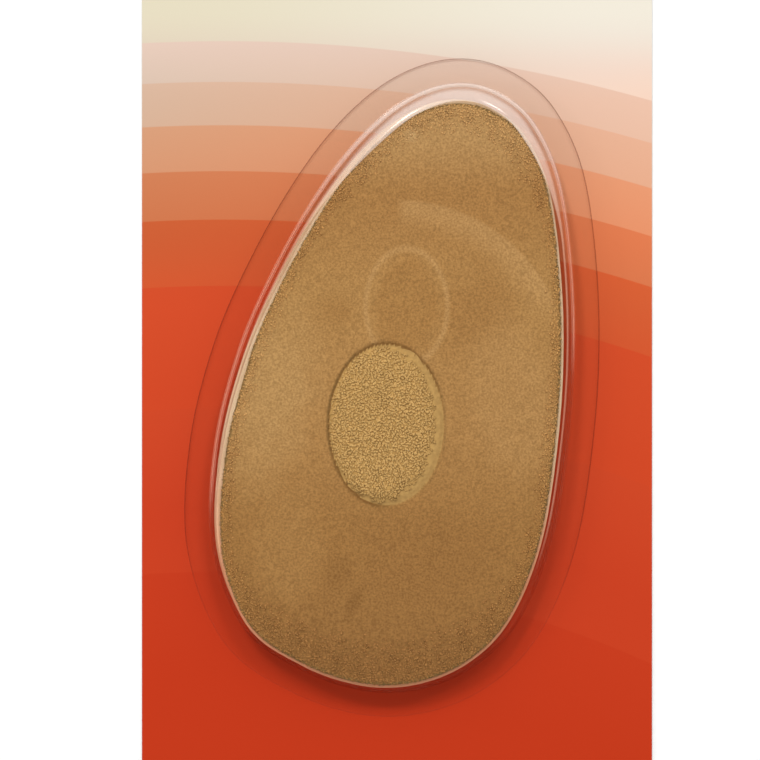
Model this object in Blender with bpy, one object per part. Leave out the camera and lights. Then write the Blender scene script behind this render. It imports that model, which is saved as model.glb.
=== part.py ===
"""A pair of metatarsal pads on their backing card, back to back in a clear blister, lying face up.

X runs across the card, Y up it towards the toe end of the pads, and Z out of its printed face. The front pad
lies face up and shows; the back pad, for the other foot, lies face down behind it. Where each pad is thickest,
an oval window is cut in the blister, and the front pad's pile swells up through it.
"""

import math

import bpy
from mathutils import Vector

MM = 0.001

# Backing card
CARD_WIDTH = 100.0 * MM
CARD_HEIGHT = 180.0 * MM
CARD_THICK = 0.6 * MM
CARD_CORNER = 3.0 * MM

# Pad, die-cut to the outline of its pile cover
PAD_LENGTH = 113.5 * MM
PAD_WIDTH = 67.0 * MM
COVER_THICK = 1.0 * MM
COVER_EDGE_ROUND = 0.6 * MM
CUSHION_EDGE_THICK = 2.2 * MM
CUSHION_BULGE = 0.35 * MM
CROWN = 1.0 * MM

# Each row is a cut across the pad: its height as a share of the length, and how far the edge stands to the left
# and to the right of the middle as shares of half the width. The tips are the ends of the long axis.
OUTLINE_ROWS = (
    # up, left, right
    (0.04, 0.520, 0.440),
    (0.12, 0.850, 0.700),
    (0.25, 0.990, 0.874),
    (0.40, 0.964, 0.958),
    (0.55, 0.839, 0.996),
    (0.70, 0.619, 0.984),
    (0.85, 0.318, 0.915),
    (0.94, 0.050, 0.780),
    (0.985, -0.180, 0.600),
)
HEEL_TIP_ACROSS = -0.01
TOE_TIP_ACROSS = 0.405

# The thickest point of a pad, from the middle of its outline
DOME_ACROSS = -0.7 * MM
DOME_UP = -5.9 * MM

# Blister, thermoformed from clear sheet
SHEET = 0.3 * MM
FLANGE_WIDTH = 5.0 * MM
ROOM_ACROSS = 2.2 * MM
ROOM_ALONG = 2.8 * MM
LEDGE_SHARE = 0.45
LEDGE_WIDTH = 0.2 * MM
SHOULDER_ROUND = 1.6 * MM
WALL_DRAFT = math.radians(2.0)

# Oval window in the blister's top, and the pile that swells up through it
WINDOW_WIDTH = 22.8 * MM
WINDOW_LENGTH = 32.0 * MM
SWELL = 0.8 * MM
SWELL_ROWS = (
    # share of the window's radius, share of the swell
    (0.95, 0.45),
    (0.85, 0.80),
    (0.60, 1.00),
)

# Places on the card, and how the two pads have slid in the cavity
BLISTER_X = -1.0 * MM
BLISTER_Y = -10.9 * MM
FRONT_SLIP_X = -0.4 * MM
FRONT_SLIP_Y = -1.3 * MM
BACK_SLIP_X = -0.9 * MM
BACK_SLIP_Y = -0.8 * MM

# Every piece sits this far from the one that carries it
SEAT_GAP = 0.3 * MM

# Facets
SPOKES = 60
CURVE_STEPS = 24
CORNER_STEPS = 6
EDGE_STEPS = 3
FACE_SHARES = (0.3, 0.6, 0.85)

# Heights that follow from the layers, from the card's back face
PAD_THICK = CUSHION_EDGE_THICK + CROWN + SEAT_GAP + COVER_THICK
BACK_PAD_BASE = CARD_THICK + SEAT_GAP + PAD_THICK
FRONT_PAD_BASE = BACK_PAD_BASE + SEAT_GAP
BLISTER_TOP = FRONT_PAD_BASE + PAD_THICK + SEAT_GAP + SHEET


def clear_scene():
    for obj in list(bpy.data.objects):
        bpy.data.objects.remove(obj, do_unlink=True)


def material(name, colour, roughness, clear=0.0):
    made = bpy.data.materials.new(name)
    made.use_nodes = True
    shader = made.node_tree.nodes["Principled BSDF"]
    shader.inputs["Base Color"].default_value = (*colour, 1.0)
    shader.inputs["Roughness"].default_value = roughness
    shader.inputs["Metallic"].default_value = 0.0
    shader.inputs["Transmission Weight"].default_value = clear
    return made


def smooth_loop(points):
    """A dense closed curve through the points, a centripetal Catmull-Rom spline."""
    count = len(points)
    curve = []
    for i in range(count):
        p = [points[(i + k) % count] for k in (-1, 0, 1, 2)]
        knots = [0.0]
        for a, b in zip(p, p[1:]):
            knots.append(knots[-1] + math.sqrt((b - a).length))
        for step in range(CURVE_STEPS):
            curve.append(spline_point(p, knots, knots[1] + (knots[2] - knots[1]) * step / CURVE_STEPS))
    return curve


def spline_point(p, knots, t):
    """The curve's point at t, between the second and the third of four points."""
    first = [mixed(p[k], p[k + 1], t, knots[k], knots[k + 1]) for k in range(3)]
    second = [mixed(first[k], first[k + 1], t, knots[k], knots[k + 2]) for k in range(2)]
    return mixed(second[0], second[1], t, knots[1], knots[2])


def mixed(a, b, t, start, end):
    return a.lerp(b, (t - start) / (end - start))


def pad_outline():
    """The cover's outline round the middle of its own box, counter-clockwise from the heel tip."""
    right = [(across, up) for up, _, across in OUTLINE_ROWS]
    left = [(-across, up) for up, across, _ in reversed(OUTLINE_ROWS)]
    shares = [(HEEL_TIP_ACROSS, 0.0), *right, (TOE_TIP_ACROSS, 1.0), *left]
    curve = smooth_loop([Vector((across, up)) for across, up in shares])
    xs = [p.x for p in curve]
    ys = [p.y for p in curve]
    middle = Vector(((max(xs) + min(xs)) / 2, (max(ys) + min(ys)) / 2))
    wide = PAD_WIDTH / (max(xs) - min(xs))
    tall = PAD_LENGTH / (max(ys) - min(ys))
    return [Vector(((p.x - middle.x) * wide, (p.y - middle.y) * tall)) for p in curve]


def grown(outline, across, along=None):
    """The outline moved outwards along its own normals, by a distance of its own along Y where one is given."""
    along = across if along is None else along
    count = len(outline)
    moved = []
    for i, point in enumerate(outline):
        run = outline[(i + 1) % count] - outline[i - 1]
        normal = Vector((run.y, -run.x)).normalized()
        moved.append(point + Vector((normal.x * across, normal.y * along)))
    return moved


def shifted(outline, x, y):
    return [point + Vector((x, y)) for point in outline]


def spoke_angles(outline):
    """Directions from the origin to points spaced evenly along the outline."""
    count = len(outline)
    lengths = [(outline[(i + 1) % count] - outline[i]).length for i in range(count)]
    step = sum(lengths) / SPOKES
    angles = []
    gone = 0.0
    for point, length in zip(outline, lengths):
        if gone >= len(angles) * step:
            angles.append(math.atan2(point.y, point.x))
        gone += length
    return angles[:SPOKES]


def reaches(outline, angles):
    """How far the outline lies from the origin in each direction."""
    turn = 2 * math.pi
    polar = sorted((math.atan2(p.y, p.x) % turn, p.length) for p in outline)
    polar = [(polar[-1][0] - turn, polar[-1][1]), *polar, (polar[0][0] + turn, polar[0][1])]
    found = []
    for angle in angles:
        wanted = angle % turn
        after = next(i for i, (at, _) in enumerate(polar) if at > wanted)
        (at_a, reach_a), (at_b, reach_b) = polar[after - 1], polar[after]
        share = (wanted - at_a) / (at_b - at_a)
        found.append(reach_a + (reach_b - reach_a) * share)
    return found


def window_reaches(angles, share=1.0):
    """How far the window's edge, or a smaller oval of the same shape, lies from the dome's middle."""
    half_width = WINDOW_WIDTH / 2 * share
    half_length = WINDOW_LENGTH / 2 * share
    return [
        half_width * half_length / math.hypot(half_length * math.cos(a), half_width * math.sin(a))
        for a in angles
    ]


def between(inner, outer, share):
    return [a + (b - a) * share for a, b in zip(inner, outer)]


def ring(angles, radii, heights):
    return [
        Vector((r * math.cos(a), r * math.sin(a), z)) for a, r, z in zip(angles, radii, heights)
    ]


def level(height):
    return [height] * SPOKES


def crowned(radii, edge, height):
    """Heights over a crowned face: CROWN above height at the dome's middle, and height at the edge."""
    return [height + CROWN * (1 - min(1.0, r / e) ** 2) for r, e in zip(radii, edge)]


def lofted(name, rings, finish, parent, side=1, start=None, end=None):
    """An object through the rings, closed at each end by a fan to the point given, if there is one.

    side is -1 for a piece that faces the card: the same shape, mirrored in its own base plane.
    """
    points = [p for one in rings for p in one]
    faces = []
    for k in range(len(rings) - 1):
        low, high = k * SPOKES, (k + 1) * SPOKES
        for i in range(SPOKES):
            j = (i + 1) % SPOKES
            faces.append((low + i, low + j, high + j, high + i))
    for tip, first, turned in ((start, 0, True), (end, len(points) - SPOKES, False)):
        if tip is None:
            continue
        points.append(tip)
        for i in range(SPOKES):
            j = (i + 1) % SPOKES
            rim = (first + j, first + i) if turned else (first + i, first + j)
            faces.append((*rim, len(points) - 1))
    if side < 0:
        points = [Vector((p.x, p.y, -p.z)) for p in points]
        faces = [tuple(reversed(face)) for face in faces]
    mesh = bpy.data.meshes.new(name)
    mesh.from_pydata(points, [], faces)
    mesh.materials.append(finish)
    mesh.shade_smooth()
    mesh.set_sharp_from_angle(angle=math.radians(40))
    made = bpy.data.objects.new(name, mesh)
    bpy.context.scene.collection.objects.link(made)
    made.parent = parent
    return made


def card(parent, finish):
    """The board, a rectangle with round corners."""
    half_width = CARD_WIDTH / 2 - CARD_CORNER
    half_height = CARD_HEIGHT / 2 - CARD_CORNER
    rim = []
    for corner, (sx, sy) in enumerate(((1, 1), (-1, 1), (-1, -1), (1, -1))):
        for step in range(CORNER_STEPS + 1):
            angle = math.radians(90) * (corner + step / CORNER_STEPS)
            rim.append(
                Vector(
                    (
                        sx * half_width + CARD_CORNER * math.cos(angle),
                        sy * half_height + CARD_CORNER * math.sin(angle),
                    )
                )
            )
    count = len(rim)
    points = [(p.x, p.y, z) for z in (0.0, CARD_THICK) for p in rim]
    faces = [tuple(reversed(range(count))), tuple(range(count, 2 * count))]
    for i in range(count):
        j = (i + 1) % count
        faces.append((i, j, count + j, count + i))
    mesh = bpy.data.meshes.new("card")
    mesh.from_pydata(points, [], faces)
    mesh.materials.append(finish)
    made = bpy.data.objects.new("card", mesh)
    bpy.context.scene.collection.objects.link(made)
    made.parent = parent
    return made


def face_rings(angles, edge, inner, height):
    """Rings over a crowned face, from the one just inside its edge to the window's oval."""
    rings = []
    for share in reversed((0.0, *FACE_SHARES)):
        radii = between(inner, edge, share)
        rings.append(ring(angles, radii, crowned(radii, edge, height)))
    return rings


def cushion(name, angles, outline, finish, parent, side):
    """The soft base: flat where the pads meet, round at its side, and crowned under the cover."""
    edge = reaches(outline, angles)
    oval = window_reaches(angles)
    rings = []
    for step in range(2 * EDGE_STEPS + 1):
        angle = math.radians(-90) + math.radians(180) * step / (2 * EDGE_STEPS)
        bulge = reaches(grown(outline, CUSHION_BULGE * math.cos(angle)), angles)
        rise = CUSHION_EDGE_THICK / 2 * (1 + math.sin(angle))
        rings.append(ring(angles, bulge, level(rise)))
    rings += face_rings(angles, edge, oval, CUSHION_EDGE_THICK)
    top = Vector((0, 0, CUSHION_EDGE_THICK + CROWN))
    return lofted(name, rings, finish, parent, side, start=Vector((0, 0, 0)), end=top)


def cover(name, angles, outline, finish, parent, side, swell):
    """The pile layer over the cushion, with a round upper edge, raised by swell within the window."""
    edge = reaches(outline, angles)
    oval = window_reaches(angles)
    under = CUSHION_EDGE_THICK + SEAT_GAP
    over = under + COVER_THICK
    rings = list(reversed(face_rings(angles, edge, oval, under)))
    rings.append(ring(angles, edge, level(under)))
    for step in range(EDGE_STEPS + 1):
        angle = math.radians(90) * step / EDGE_STEPS
        inset = reaches(grown(outline, COVER_EDGE_ROUND * (math.cos(angle) - 1)), angles)
        drop = COVER_EDGE_ROUND * (1 - math.sin(angle))
        rings.append(ring(angles, inset, crowned(inset, edge, over - drop)))
    rings += face_rings(angles, edge, oval, over)
    if swell:
        for share, rise in SWELL_ROWS:
            radii = window_reaches(angles, share)
            rings.append(ring(angles, radii, crowned(radii, edge, over + swell * rise)))
    bottom = Vector((0, 0, under + CROWN))
    top = Vector((0, 0, over + CROWN + swell))
    return lofted(name, rings, finish, parent, side, start=bottom, end=top)


def blister_profile(crest):
    """The outside of the blister from flange to top, as (inset from the foot, height above the flange's face)."""
    ledge = crest * LEDGE_SHARE
    slope = math.tan(WALL_DRAFT)
    rows = [(-FLANGE_WIDTH, 0.0), (0.0, 0.0), (ledge * slope, ledge)]
    inset = ledge * slope + LEDGE_WIDTH
    rows.append((inset, ledge))
    straight = crest - SHOULDER_ROUND
    inset += (straight - ledge) * slope
    for step in range(EDGE_STEPS + 2):
        angle = math.radians(90) * step / (EDGE_STEPS + 1)
        across = SHOULDER_ROUND * (1 - math.cos(angle))
        rows.append((inset + across, straight + SHOULDER_ROUND * math.sin(angle)))
    return rows


def blister(angles, outline, finish, parent):
    """The clear shell: its outer face, given its thickness inwards, with the window left open."""
    foot = grown(outline, ROOM_ACROSS, ROOM_ALONG)
    flange_face = CARD_THICK + SEAT_GAP + SHEET
    crest = BLISTER_TOP - CROWN - flange_face
    rings = []
    for inset, height in blister_profile(crest):
        radii = reaches(grown(foot, -inset), angles)
        rings.append(ring(angles, radii, level(flange_face + height)))
    rim = radii
    rings += face_rings(angles, rim, window_reaches(angles), flange_face + crest)
    made = lofted("blister", rings, finish, parent)
    solidify = made.modifiers.new("sheet", "SOLIDIFY")
    solidify.thickness = SHEET
    solidify.offset = -1.0
    solidify.use_even_offset = True
    return made


def empty(name, location):
    made = bpy.data.objects.new(name, None)
    bpy.context.scene.collection.objects.link(made)
    made.location = location
    return made


def main():
    clear_scene()
    board = material("printed_board", (0.79, 0.15, 0.06), 0.45)
    clear = material("clear_sheet", (0.95, 0.96, 0.96), 0.08, clear=0.9)
    pile = material("brown_pile", (0.44, 0.26, 0.09), 0.95)
    foam = material("cream_foam", (0.76, 0.66, 0.45), 0.7)

    # Every outline below runs round the dome's middle, where the spokes meet
    dome = (BLISTER_X + FRONT_SLIP_X + DOME_ACROSS, BLISTER_Y + FRONT_SLIP_Y + DOME_UP)
    front_outline = shifted(pad_outline(), -DOME_ACROSS, -DOME_UP)
    angles = spoke_angles(front_outline)
    back_outline = shifted(front_outline, BACK_SLIP_X - FRONT_SLIP_X, BACK_SLIP_Y - FRONT_SLIP_Y)
    cavity_outline = shifted(front_outline, -FRONT_SLIP_X, -FRONT_SLIP_Y)

    pack = empty("pack", (0.0, 0.0, 0.0))
    card(pack, board)
    shell = empty("shell", (*dome, 0.0))
    front = empty("front_pad", (*dome, FRONT_PAD_BASE))
    back = empty("back_pad", (*dome, BACK_PAD_BASE))
    for part in (shell, front, back):
        part.parent = pack
    blister(angles, cavity_outline, clear, shell)
    cushion("front_cushion", angles, front_outline, foam, front, side=1)
    cover("front_cover", angles, front_outline, pile, front, side=1, swell=SWELL)
    cushion("back_cushion", angles, back_outline, foam, back, side=-1)
    cover("back_cover", angles, back_outline, pile, back, side=-1, swell=0.0)


main()
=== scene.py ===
"""Looks of a pair of metatarsal pads, back to back in a clear blister on a printed card, lying face up.

Each piece's box comes from model.glb. The pads' outline, crown and window are those of the solids, with finer
steps.
"""

import math

import bpy
import numpy as np
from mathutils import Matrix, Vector


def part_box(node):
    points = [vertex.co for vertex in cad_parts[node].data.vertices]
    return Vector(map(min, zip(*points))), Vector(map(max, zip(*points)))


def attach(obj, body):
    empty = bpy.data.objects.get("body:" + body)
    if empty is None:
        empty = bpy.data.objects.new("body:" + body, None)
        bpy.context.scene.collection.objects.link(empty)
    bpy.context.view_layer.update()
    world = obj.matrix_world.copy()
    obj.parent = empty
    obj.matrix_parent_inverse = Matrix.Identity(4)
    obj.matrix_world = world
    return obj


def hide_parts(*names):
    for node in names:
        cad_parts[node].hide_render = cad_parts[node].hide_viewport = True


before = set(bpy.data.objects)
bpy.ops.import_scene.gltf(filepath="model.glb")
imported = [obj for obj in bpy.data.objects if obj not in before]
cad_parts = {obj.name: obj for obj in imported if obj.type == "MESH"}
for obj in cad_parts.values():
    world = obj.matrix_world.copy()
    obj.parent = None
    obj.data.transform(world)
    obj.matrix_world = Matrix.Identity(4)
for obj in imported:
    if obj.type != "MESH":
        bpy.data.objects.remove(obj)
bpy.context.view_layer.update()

MM = 0.001

# The pad's outline: each row is its height as a share of the length, and the edge's distance to the left and
# right of the middle as shares of half the width
OUTLINE_ROWS = (
    # up, left, right
    (0.04, 0.520, 0.440),
    (0.12, 0.850, 0.700),
    (0.25, 0.990, 0.874),
    (0.40, 0.964, 0.958),
    (0.55, 0.839, 0.996),
    (0.70, 0.619, 0.984),
    (0.85, 0.318, 0.915),
    (0.94, 0.050, 0.780),
    (0.985, -0.180, 0.600),
)
HEEL_TIP_ACROSS = -0.01
TOE_TIP_ACROSS = 0.405
DOME_ACROSS = -0.7 * MM
DOME_UP = -5.9 * MM

# Layers of a pad
COVER_THICK = 1.0 * MM
COVER_EDGE_ROUND = 0.9 * MM
CUSHION_EDGE_THICK = 2.2 * MM
CROWN = 1.0 * MM
SEAT_GAP = 0.3 * MM

# Blister
SHEET = 0.3 * MM
FLANGE_WIDTH = 5.0 * MM
ROOM_ACROSS = 2.2 * MM
ROOM_ALONG = 2.8 * MM
LEDGE_SHARE = 0.45
LEDGE_WIDTH = 0.2 * MM
SHOULDER_ROUND = 1.6 * MM
SHOULDER_ROUND_AT_TOE = 4.0 * MM
TOE_SHOULDER_BAND = (35 * MM, 60 * MM)
FOOT_ROUND = 0.35 * MM
LEDGE_ROUND = 0.08 * MM
BEAD_WIDTH = 0.5 * MM
BEAD_HEIGHT = 0.02 * MM
CUT_SLOPE = 0.22 * MM
WALL_DRAFT = math.radians(2.0)
WINDOW_WIDTH = 22.8 * MM
WINDOW_LENGTH = 32.0 * MM
HALF_WIDTH_AT_WINDOW = 33 * MM
# The share of the crown's height that the window takes off the blister's highest point
CROWN_LOSS = (WINDOW_WIDTH / 2 / HALF_WIDTH_AT_WINDOW) ** 2
SWELL = 0.8 * MM

# How far the front pad has slipped in the blister
FRONT_SLIP = np.array((-0.4, -1.3)) * MM

# The cover's face in the window and at its edge. It is set back furthest where the edge faces SET_BACK_SIDE,
# from the one to the other share of facing it
GROOVE_SHARE = 0.965
GROOVE_SPREAD = 0.035
GROOVE_DEPTH = 0.45 * MM
SET_BACK = 0.45 * MM
SET_BACK_LEFT = 0.3 * MM
SET_BACK_SIDE = (-0.995, 0.0995)
SET_BACK_FACING = (0.955, 0.985)

# Unevenness of the foam's side and of the cover's face, as (length of the waves, height)
FOAM_BULGE = 0.2 * MM
FOAM_WAVES = (5.0 * MM, 0.03 * MM)
FINE_FACE_WAVES = (1.1 * MM, 0.03 * MM)
WIDE_FACE_WAVES = (4.0 * MM, 0.04 * MM)

# How far the cover's mesh lies under the face that the pile stands on, and its underside over the foam
PILE_DEPTH = 0.1 * MM
UNDERSIDE_GAP = SEAT_GAP * 0.2

# Mesh fineness. The cover's rings lie closer together towards its edge
SPOKES = 420
CURVE_STEPS = 24
FOAM_SIDE_STEPS = 16
FACE_STEPS = 20
COVER_STEPS = 110
COVER_CROWDING = 1.4
SHELL_FACE_STEPS = 24
ARC_STEPS = 9

# Where a face's rings begin, and where the foam's and the cover's end, as shares of the way out
FIRST_RING = 0.05
LAST_FOAM_RING = 0.97
LAST_COVER_RING = 0.02

# The photograph's frame
CARD_PIXELS = 510
PHOTO_PIXELS = 760
PHOTO_CENTRE = Vector((-3.33 * MM, -9.45 * MM))
CAMERA_DISTANCE = 0.6
SENSOR = 36.0


# Numbers and curves


def smooth_loop(points):
    """A dense smooth closed curve through the points, spaced by the root of the distances between them."""
    count = len(points)
    curve = []
    for i in range(count):
        p = [points[(i + k) % count] for k in (-1, 0, 1, 2)]
        knots = [0.0]
        for a, b in zip(p, p[1:]):
            knots.append(knots[-1] + math.sqrt(np.linalg.norm(b - a)))
        for step in range(CURVE_STEPS):
            t = knots[1] + (knots[2] - knots[1]) * step / CURVE_STEPS
            first = [mixed(p[k], p[k + 1], t, knots[k], knots[k + 1]) for k in range(3)]
            second = [mixed(first[k], first[k + 1], t, knots[k], knots[k + 2]) for k in range(2)]
            curve.append(mixed(second[0], second[1], t, knots[1], knots[2]))
    return np.array(curve)


def mixed(a, b, t, start, end):
    return a + (b - a) * (t - start) / (end - start)


def evenly(loop, count):
    """A closed curve's points, count of them evenly spaced along it."""
    closed = np.vstack([loop, loop[:1]])
    gone = np.concatenate([[0.0], np.cumsum(np.linalg.norm(np.diff(closed, axis=0), axis=1))])
    wanted = np.linspace(0.0, gone[-1], count, endpoint=False)
    return np.stack([np.interp(wanted, gone, closed[:, k]) for k in (0, 1)], axis=1)


def normals_of(loop):
    """Unit normals of a counter-clockwise loop, pointing out."""
    run = np.roll(loop, -1, axis=0) - np.roll(loop, 1, axis=0)
    out = np.stack([run[:, 1], -run[:, 0]], axis=1)
    return out / np.linalg.norm(out, axis=1, keepdims=True)


def smoothstep(low, high, x):
    """0 at low and beyond, 1 at high and beyond, and a smooth curve in between."""
    t = np.clip((x - low) / (high - low), 0.0, 1.0)
    return t * t * (3 - 2 * t)


def ripple(points, length, seed, waves=14):
    """Smooth noise from -1 to 1 over flat points, as a sum of waves of about one length in all directions."""
    rng = np.random.default_rng(seed)
    total = np.zeros(len(points))
    for _ in range(waves):
        angle = rng.uniform(0, 2 * math.pi)
        pitch = 2 * math.pi / (length * rng.uniform(0.7, 1.4))
        along = points[:, 0] * math.cos(angle) + points[:, 1] * math.sin(angle)
        total += np.sin(along * pitch + rng.uniform(0, 2 * math.pi))
    return total / math.sqrt(2 * waves)


class Pad:
    """One pad's measures: its dome's middle, outline, and the height of each layer over any point."""

    def __init__(self, cover_node, cushion_node, side, swell):
        low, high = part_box(cover_node)
        shares = [(across, up) for up, _, across in OUTLINE_ROWS]
        shares += [(TOE_TIP_ACROSS, 1.0)]
        shares += [(-across, up) for up, across, _ in reversed(OUTLINE_ROWS)]
        shares = [(HEEL_TIP_ACROSS, 0.0), *shares]
        loop = smooth_loop([np.array(share) for share in shares])
        small, large = loop.min(axis=0), loop.max(axis=0)
        corner, size = np.array(low[:2]), np.array(high[:2]) - np.array(low[:2])
        self.middle = corner + size / 2 + np.array((DOME_ACROSS, DOME_UP))
        self.outline = evenly((loop - small) / (large - small) * size + corner - self.middle, SPOKES)
        self.normals = normals_of(self.outline)
        self.side = side
        self.swell = swell
        self.set_back = self.edge_set_back()
        self.cover_outline = self.outline - self.normals * self.set_back[:, None]
        cushion_low, cushion_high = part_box(cushion_node)
        self.base = cushion_low.z if side > 0 else cushion_high.z
        angles = np.arctan2(self.outline[:, 1], self.outline[:, 0])
        order = np.argsort(angles)
        self.angles = angles[order]
        self.reaches = np.linalg.norm(self.outline, axis=1)[order]
        self.cover_reaches = self.reaches - self.set_back[order]

    def edge_set_back(self):
        """How far the cover's edge lies inside the foam's, most along the left side."""
        left = smoothstep(*SET_BACK_FACING, self.normals @ np.array(SET_BACK_SIDE))
        return SET_BACK + SET_BACK_LEFT * left

    def reach(self, xy, cover=False):
        """The outline's distance from the dome's middle, in the direction of each point."""
        angle = np.arctan2(xy[:, 1], xy[:, 0])
        reaches = self.cover_reaches if cover else self.reaches
        return np.interp(angle, self.angles, reaches, period=2 * math.pi)

    def inside(self, xy):
        """How far each point lies inside the cover's edge."""
        return self.reach(xy, cover=True) - np.linalg.norm(xy, axis=1)

    def out(self, xy):
        """Each point's distance from the dome's middle as a share of the outline's."""
        return np.linalg.norm(xy, axis=1) / self.reach(xy)

    def crown(self, xy):
        return CROWN * (1 - np.minimum(self.out(xy), 1.0) ** 2)

    def cushion_top(self, xy):
        return CUSHION_EDGE_THICK + self.crown(xy)

    def cover_top(self, xy):
        """Height of the cover's face: crowned, rolled down at the edge, and swollen in the window."""
        roll = np.clip(COVER_EDGE_ROUND - self.inside(xy), 0.0, COVER_EDGE_ROUND)
        drop = COVER_EDGE_ROUND - np.sqrt(COVER_EDGE_ROUND**2 - roll**2)
        height = self.cushion_top(xy) + SEAT_GAP + COVER_THICK - drop
        if self.swell is None:
            return height
        share = window_share(xy)
        groove = np.exp(-(((share - GROOVE_SHARE) / GROOVE_SPREAD) ** 2))
        return height + SWELL * self.swell(xy) - GROOVE_DEPTH * groove

    def placed(self, xy, height):
        """World points of the pad's own flat points and heights."""
        z = self.base + self.side * height
        return np.column_stack([xy + self.middle, z])


def window_share(xy):
    """Distance from the window's middle as a share of the distance of its edge."""
    return np.hypot(xy[:, 0] / (WINDOW_WIDTH / 2), xy[:, 1] / (WINDOW_LENGTH / 2))


# The cover's swell through the window is simulated as cloth, at a hundred times its size
SIM_SCALE = 100.0
SIM_FRAMES = 20
SIM_SPOKES = 64
SIM_RINGS = 24
SIM_REACH = 1.2
SIM_UNEVEN = 0.004
SIM_SEED = 5
SIM_PRESSURE = 4.0
SIM_SLACK = 0.02
SIM_STIFFNESS = 2.0
SIM_DAMPING = 5.0
SIM_HELD_SHARE = 0.97
SIM_FREE_SHARE = 0.9


def simulated_swell():
    """A cloth held at the window's edge and pressed up. Gives a function of flat points: 1 at the highest."""
    rng = np.random.default_rng(SIM_SEED)
    turns = np.arange(SIM_SPOKES) * 2 * math.pi / SIM_SPOKES
    oval = np.column_stack([np.cos(turns) * WINDOW_WIDTH / 2, np.sin(turns) * WINDOW_LENGTH / 2]) * SIM_SCALE
    points = [np.zeros((1, 3))]
    for share in np.linspace(0.0, SIM_REACH, SIM_RINGS + 1)[1:]:
        points.append(np.column_stack([oval * share, rng.normal(0.0, SIM_UNEVEN, SIM_SPOKES)]))
    points = np.vstack(points)
    here = np.arange(SIM_SPOKES)
    there = (here + 1) % SIM_SPOKES
    faces = np.stack([np.zeros_like(here), 1 + here, 1 + there], axis=1).tolist()
    for ring in range(SIM_RINGS - 1):
        low, high = 1 + ring * SIM_SPOKES, 1 + (ring + 1) * SIM_SPOKES
        faces += np.stack([low + here, high + here, high + there, low + there], axis=1).tolist()
    mesh = bpy.data.meshes.new("swelling")
    mesh.from_pydata(points.tolist(), [], faces)
    piece = linked("swelling", mesh)
    held = piece.vertex_groups.new(name="held")
    outside = window_share(points / SIM_SCALE) > SIM_HELD_SHARE
    held.add(np.flatnonzero(outside).tolist(), 1.0, "REPLACE")

    cloth = piece.modifiers.new("cloth", "CLOTH")
    cloth.collision_settings.use_self_collision = False
    settings = cloth.settings
    settings.quality = 6
    settings.vertex_group_mass = held.name
    settings.effector_weights.gravity = 0.0
    settings.shrink_min = -SIM_SLACK
    settings.use_pressure = True
    settings.uniform_pressure_force = SIM_PRESSURE
    settings.bending_stiffness = SIM_STIFFNESS
    settings.air_damping = SIM_DAMPING
    for frame_number in range(1, SIM_FRAMES + 1):
        bpy.context.scene.frame_set(frame_number)
    shaped = piece.evaluated_get(bpy.context.evaluated_depsgraph_get()).data
    moved = np.empty(len(points) * 3)
    shaped.vertices.foreach_get("co", moved)
    heights = moved.reshape(-1, 3)[:, 2]
    bpy.data.objects.remove(piece)
    bpy.data.meshes.remove(mesh)
    bpy.context.scene.frame_set(1)
    heights = np.clip(heights / heights.max(), 0.0, 1.0)
    table = np.vstack([np.full((1, SIM_SPOKES), heights[0]), heights[1:].reshape(SIM_RINGS, SIM_SPOKES)])

    def swell(xy):
        ring = np.minimum(window_share(xy) / SIM_REACH, 0.999) * SIM_RINGS
        spoke = np.arctan2(xy[:, 1] / WINDOW_LENGTH, xy[:, 0] / WINDOW_WIDTH) % (2 * math.pi)
        spoke = spoke / (2 * math.pi) * SIM_SPOKES
        low, before = ring.astype(int), spoke.astype(int) % SIM_SPOKES
        after = (before + 1) % SIM_SPOKES
        up, on = ring - low, spoke - spoke.astype(int)
        inner = table[low, before] * (1 - on) + table[low, after] * on
        outer = table[low + 1, before] * (1 - on) + table[low + 1, after] * on
        inner_edge = smoothstep(SIM_HELD_SHARE, SIM_FREE_SHARE, window_share(xy))
        return (inner * (1 - up) + outer * up) * inner_edge

    return swell


# Meshes


def linked(name, data):
    """A new object in the scene."""
    made = bpy.data.objects.new(name, data)
    bpy.context.scene.collection.objects.link(made)
    return made


def mesh_object(name, points, faces, finish):
    mesh = bpy.data.meshes.new(name)
    mesh.from_pydata(points.tolist(), [], faces.tolist() if isinstance(faces, np.ndarray) else faces)
    mesh.materials.append(finish)
    mesh.shade_smooth()
    return linked(name, mesh)


def lofted(name, rings, finish, closed=False, turned=False):
    """A mesh through rings of equally many points: a tube if closed, or else a body with a fan at each end.

    A tube's faces lie in the order of its rings, as many to a ring as it has points.
    """
    count = len(rings[0])
    points = np.vstack(rings)
    faces = []
    here = np.arange(count)
    there = (here + 1) % count
    last = len(rings) if closed else len(rings) - 1
    for k in range(last):
        low, high = k * count, (k + 1) % len(rings) * count
        faces += np.stack([low + here, low + there, high + there, high + here], axis=1).tolist()
    if not closed:
        start, end = len(points), len(points) + 1
        points = np.vstack([points, rings[0].mean(axis=0), rings[-1].mean(axis=0)])
        first = (len(rings) - 1) * count
        faces += np.stack([there, here, np.full(count, start)], axis=1).tolist()
        faces += np.stack([first + here, first + there, np.full(count, end)], axis=1).tolist()
    if turned:
        faces = [face[::-1] for face in faces]
    return mesh_object(name, points, faces, finish)


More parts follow.
